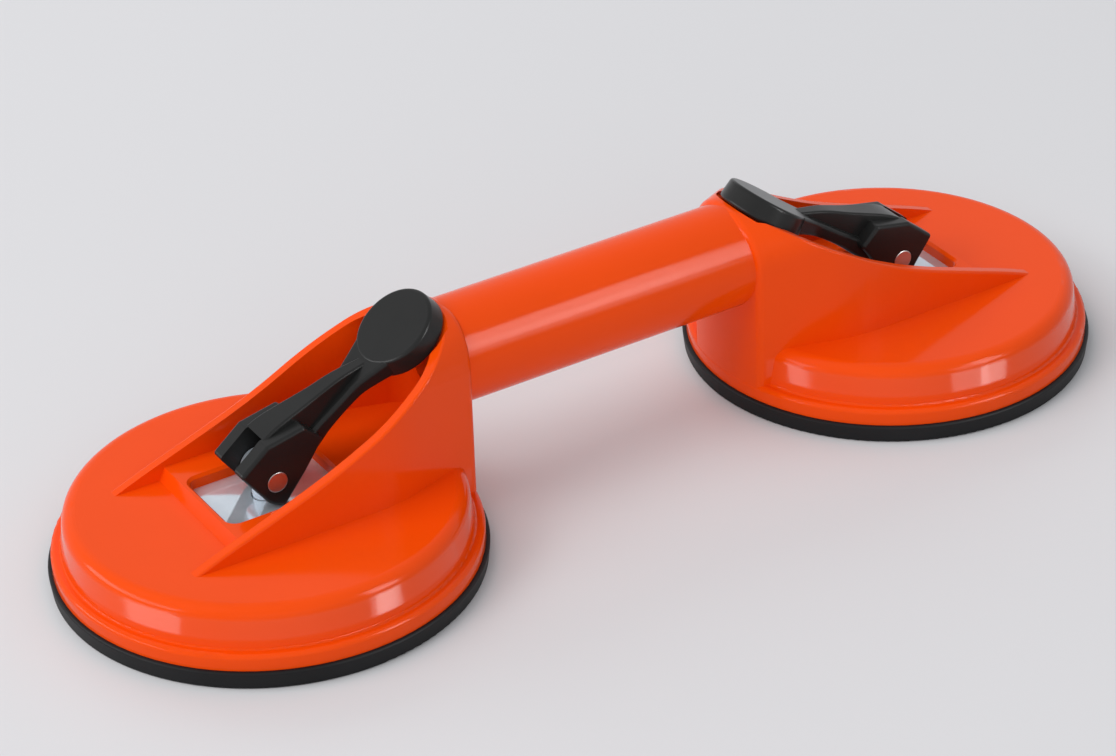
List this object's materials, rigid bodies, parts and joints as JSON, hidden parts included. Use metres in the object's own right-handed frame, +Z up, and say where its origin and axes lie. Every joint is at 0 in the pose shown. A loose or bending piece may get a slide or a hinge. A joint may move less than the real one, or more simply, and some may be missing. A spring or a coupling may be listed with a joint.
{
  "type": "tile suction lifter",
  "caption": "Hand lifter for smooth slabs: two round suction pads in moulded housings joined by a tube grip, each pad drawn up by a cam lever.",
  "frame": {"origin": "midway between the two cups, on the surface that the pads stand on", "axes": "+X along the grip, +Y across it, +Z up, away from the surface"},
  "size_m": [0.3268, 0.1198, 0.0663],
  "materials": {
    "orange_abs": "glossy moulded ABS",
    "black_nylon": "semi-gloss moulded",
    "black_rubber": "matte moulded",
    "zinc_steel": "satin zinc plated",
    "spring_steel": "bright drawn wire",
    "pin_steel": "ground"
  },
  "bodies": {
    "frame": {"body": "orange_abs", "pad_left": "black_rubber", "pad_right": "black_rubber", "wear_plate_left": "zinc_steel", "wear_plate_right": "zinc_steel", "spring_left": "spring_steel", "spring_right": "spring_steel"},
    "stud_left": {"backing_disc_left": "zinc_steel", "pull_stud_left": "zinc_steel"},
    "lever_left": {"lever_left": "black_nylon", "pivot_pin_left": "pin_steel"},
    "stud_right": {"backing_disc_right": "zinc_steel", "pull_stud_right": "zinc_steel"},
    "lever_right": {"lever_right": "black_nylon", "pivot_pin_right": "pin_steel"}
  },
  "joints": [
    {"name": "stud_slide_left", "type": "slide", "parent": "frame", "child": "stud_left", "axis": [0, 0, -1], "range_m": [0, 0.0021], "deforming": ["pad_left", "spring_left"]},
    {"name": "lever_hinge_left", "type": "hinge", "parent": "stud_left", "child": "lever_left", "pos_m": [-0.1035, 0, 0.0293], "axis": [0, -1, 0], "range_deg": [0, 54]},
    {"name": "stud_slide_right", "type": "slide", "parent": "frame", "child": "stud_right", "axis": [0, 0, -1], "range_m": [0, 0.0021], "deforming": ["pad_right", "spring_right"]},
    {"name": "lever_hinge_right", "type": "hinge", "parent": "stud_right", "child": "lever_right", "pos_m": [0.1035, 0, 0.0293], "axis": [0, 1, 0], "range_deg": [0, 54]}
  ],
  "couplings": [
    {"joint": "stud_slide_left", "follows": "lever_hinge_left", "m_per_rad": 0.0022282},
    {"joint": "stud_slide_right", "follows": "lever_hinge_right", "m_per_rad": 0.0022282}
  ]
}
